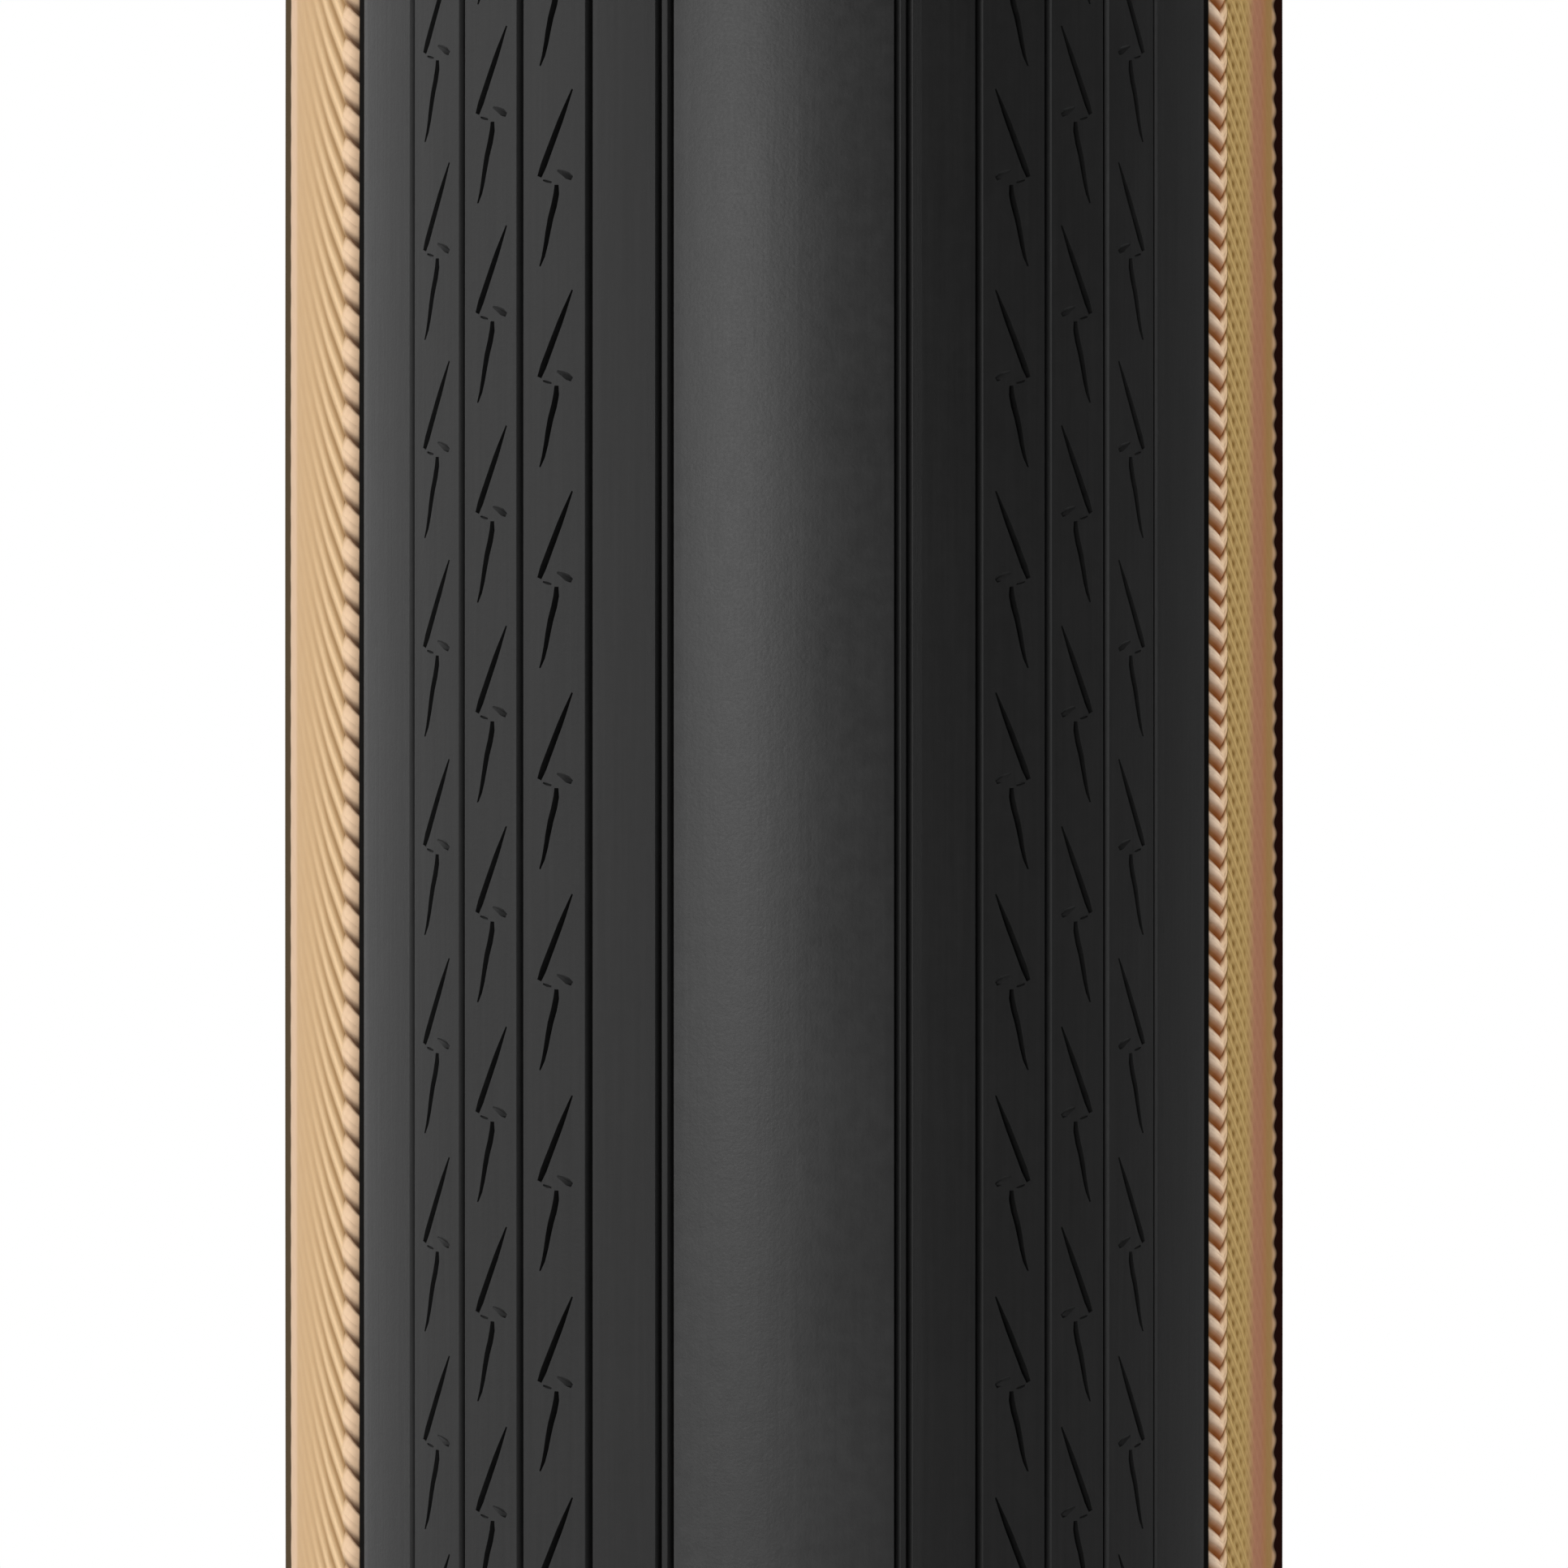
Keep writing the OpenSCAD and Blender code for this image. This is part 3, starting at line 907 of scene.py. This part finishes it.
def sidewall_material(side, part):
    """Gum rubber over bias cords, with a band of painted shade at the widest part of the tire."""
    shader, gum = Shader(f"gum_{part}_{side}"), GUM[side]
    outer, inner, around, across = cord_phases(shader, side, part)
    share = shader.math("DIVIDE", across, math.radians(RELIEF_TO - ROPE_FROM) * HALF_W)
    base, fade = wall_colour(shader, gum, outer, inner, share)
    silhouette_shade = 0.0
    if part == "rope":
        base = rope_colour(shader, side, outer, across, base)
    else:
        # Painted shade over the widest part of the wall, scalloped at each cord, which also takes away
        # the sheen
        bumps = shader.math("MULTIPLY_ADD", smooth_waves(shader, around), -gum["scallop"], share)
        start, soft = share_across(gum["silhouette_shade_from"]), gum["soft"]
        fade_from, fade_to = (share_across(degrees) for degrees in SILHOUETTE_SHADE_FADE)
        silhouette_shade = shader.ramp(bumps, greys([(0.0, 0.0), (start - soft, 0.0), (start + soft, 1.0),
                                          (fade_from, 1.0), (fade_to, 0.0)]))
        base = shader.mix(silhouette_shade, base, gum["silhouette_shade"])
    speckle = shader.noise(shader.ring_coords(), 2.5, 4.0)
    base = shader.mix(shader.rescale(speckle, 0.0, 0.25), base, (0.75, 0.6, 0.5), "MULTIPLY")
    threads = waves(shader, outer, 3)
    height = shader.math("MULTIPLY_ADD", waves(shader, inner, 1), 0.5, threads)
    height = shader.math("MULTIPLY", height, fade)
    specular = shader.math("MULTIPLY_ADD", silhouette_shade, -0.12, 0.12)
    return shader.finish(base, shader.rescale(speckle, 0.6, 0.85), shader.bump(height, 0.03), specular)


def rubber_material(name, colour, rough, grain_mm, depth_mm):
    """Plain rubber with a grain and blotches, in object space."""
    shader = Shader(name)
    coords = shader.object_coords()
    grain = shader.noise(coords, 1 / (grain_mm * MM), 4.0)
    blotch = shader.noise(coords, 120.0, 3.0)
    base = shader.ramp(blotch, [(0.3, shade(colour, 0.8)), (0.7, shade(colour, 1.2))])
    roughness = shader.rescale(grain, rough - 0.1, rough + 0.1)
    return shader.finish(base, roughness, shader.bump(grain, depth_mm), 0.3)


def woven_material(name, colour, thread_mm):
    """Two sets of threads at a bias, in a plain weave, with uneven dye."""
    shader = Shader(name)
    coords = shader.ring_coords()
    split = shader.tree.nodes.new("ShaderNodeSeparateXYZ")
    shader.set(split.inputs[0], coords)
    warp = waves(shader, shader.math("ADD", split.outputs[0], split.outputs[1]), 1 / thread_mm)
    weft = waves(shader, shader.math("SUBTRACT", split.outputs[0], split.outputs[1]), 1 / thread_mm)
    over = shader.math("MAXIMUM", warp, shader.math("MULTIPLY", weft, 0.85))
    dye = shader.noise(coords, 0.6, 4.0)
    base = shader.mix(over, shade(colour, 0.45), shade(colour, 1.15))
    base = shader.mix(shader.rescale(dye, 0.0, 0.5), base, shade(colour, 0.6))
    roughness = shader.rescale(dye, 0.7, 0.9)
    return shader.finish(base, roughness, shader.bump(over, 0.05), 0.15)


def wire_material(name):
    """Brass-coated steel wire with drawn streaks and a little tarnish."""
    shader = Shader(name)
    coords = shader.object_coords()
    streak = shader.noise(shader.stretched(coords, (60.0, 4000.0, 60.0)), 1.0, 3.0)
    tarnish = shader.noise(coords, 90.0, 4.0)
    base = shader.mix(tarnish, (0.72, 0.5, 0.24), (0.45, 0.3, 0.16))
    roughness = shader.rescale(streak, 0.25, 0.5)
    return shader.finish(base, roughness, shader.bump(streak, 0.01), 0.5, 1.0)


def build_materials():
    made = {
        "tread_centre": tread_material("tread_band_rubber", (0.026, 0.026, 0.026), rough=0.4,
                                       mottle_mm=0.014, streak_share=0.2, specular=0.35),
        "tread_rubber": tread_material("shoulder_rubber", (0.012, 0.012, 0.012), rough=0.5,
                                       mottle_mm=0.012, streak_share=0.5, specular=0.28),
        # Near-black with little sheen: painted shadow in the gap between tread and sidewall
        "edge_rubber": tread_material("edge_rubber", (0.003, 0.0026, 0.0022), rough=0.8,
                                      mottle_mm=0.02, streak_share=0.5, specular=0.05),
        "ply_fabric": woven_material("casing_cords", (0.5, 0.34, 0.2), thread_mm=0.5),
        "chafer_fabric": woven_material("chafer_weave", (0.32, 0.24, 0.16), thread_mm=0.6),
        "cushion_rubber": rubber_material("cushion_rubber", (0.06, 0.052, 0.048), rough=0.7,
                                          grain_mm=0.5, depth_mm=0.04),
        "breaker_fabric": rubber_material("breaker_fabric", (0.5, 0.42, 0.16), rough=0.8,
                                          grain_mm=0.35, depth_mm=0.12),
        "filler_rubber": rubber_material("filler_rubber", (0.08, 0.065, 0.055), rough=0.65,
                                         grain_mm=0.5, depth_mm=0.04),
        "wrap_tape": rubber_material("gummed_tape", (0.05, 0.046, 0.042), rough=0.75,
                                     grain_mm=0.35, depth_mm=0.08),
        "bead_wire": wire_material("brassed_wire"),
    }
    for side in ("left", "right"):
        for part in ("rope", "wall", "body"):
            made[f"sidewall_{part}_{side}"] = sidewall_material(side, part)
    return made


def dress_cad_nodes(materials):
    """The hidden layers keep their CAD solids, with a better material."""
    for node, slot in SLOT_OF.items():
        if slot in materials:
            cad = frame["nodes"][node]
            for index in range(len(cad.material_slots)):
                cad.material_slots[index].material = materials[slot]


# ---------------------------------------------------------------- studio

# The room's grey on the left and on the right, and the share of the photograph's width that the
# tire fills
ROOM_GREYS = (0.23, 0.05)
FLOOR_HALF = 4.0
LENS_MM = 800.0
SENSOR_MM = 36.0
TIRE_SHARE = 0.6356


def add_sun(name, azimuth, elevation, strength, size, glossy=True):
    """A soft light from this direction: azimuth 0 is the camera's side, and 90 is the right."""
    light = bpy.data.lights.new(name, "SUN")
    light.energy = strength
    light.angle = math.radians(size)
    lamp = bpy.data.objects.new(name, light)
    lamp.visible_glossy = glossy
    a, e = math.radians(azimuth), math.radians(elevation)
    towards = Vector((math.cos(e) * math.cos(a), math.cos(e) * math.sin(a), math.sin(e)))
    lamp.rotation_euler = towards.to_track_quat("Z", "Y").to_euler()
    bpy.context.scene.collection.objects.link(lamp)


def build_world():
    """A grey room that dims towards the right, and is white where the camera sees it."""
    world = bpy.data.worlds.new("studio")
    bpy.context.scene.world = world
    world.use_nodes = True
    tree = world.node_tree
    where = tree.nodes.new("ShaderNodeTexCoord")
    split = tree.nodes.new("ShaderNodeSeparateXYZ")
    room = tree.nodes.new("ShaderNodeMapRange")
    for name, value in zip(("From Min", "From Max", "To Min", "To Max"), (-1.0, 1.0, *ROOM_GREYS)):
        room.inputs[name].default_value = value
    rays = tree.nodes.new("ShaderNodeLightPath")
    seen = tree.nodes.new("ShaderNodeMath")
    seen.operation = "MAXIMUM"
    tree.links.new(where.outputs["Generated"], split.inputs[0])
    tree.links.new(split.outputs[1], room.inputs[0])
    tree.links.new(room.outputs[0], seen.inputs[0])
    tree.links.new(rays.outputs["Is Camera Ray"], seen.inputs[1])
    tree.links.new(seen.outputs[0], tree.nodes["Background"].inputs["Color"])


def build_floor():
    corners = [(x * FLOOR_HALF, y * FLOOR_HALF, CAD_BOUNDS[0][2])
               for x, y in ((-1, -1), (1, -1), (1, 1), (-1, 1))]
    mesh = bpy.data.meshes.new("floor")
    mesh.from_pydata(corners, [], [(0, 1, 2, 3)])
    shader = Shader("floor_paper")
    coords = shader.object_coords()
    tone = shader.ramp(shader.noise(coords, 3.0), greys([(0.3, 0.88), (0.7, 0.91)]))
    shader.finish(tone, 0.8, shader.bump(shader.noise(coords, 400.0), 0.05), 0.2)
    mesh.materials.append(shader.material)
    floor = bpy.data.objects.new("floor", mesh)
    bpy.context.scene.collection.objects.link(floor)


def build_camera():
    """Level with the axle and square on to the tread, far enough off for the tire's share."""
    camera = bpy.data.cameras.new("camera")
    camera.sensor_width = SENSOR_MM
    camera.lens = LENS_MM
    distance = 2 * HALF_W * MM / TIRE_SHARE * LENS_MM / SENSOR_MM
    camera.clip_end = 200.0
    holder = bpy.data.objects.new("camera", camera)
    holder.location = (CENTRE_R * MM + distance, 0.0, 0.0)
    holder.rotation_euler = Vector((1.0, 0.0, 0.0)).to_track_quat("Z", "Y").to_euler()
    bpy.context.scene.collection.objects.link(holder)
    bpy.context.scene.camera = holder


def build_studio():
    build_camera()
    build_floor()
    build_world()
    add_sun("key", azimuth=-64, elevation=18, strength=1.6, size=50)
    add_sun("left", azimuth=-122, elevation=10, strength=1.2, size=60)
    add_sun("crown", azimuth=-12, elevation=6, strength=0.9, size=16)
    add_sun("right", azimuth=125, elevation=15, strength=3.1, size=60, glossy=False)


bpy.context.scene.view_settings.view_transform = "Standard"
materials = build_materials()
build_studio()
build_tread(materials)
build_casing(materials)
dress_cad_nodes(materials)
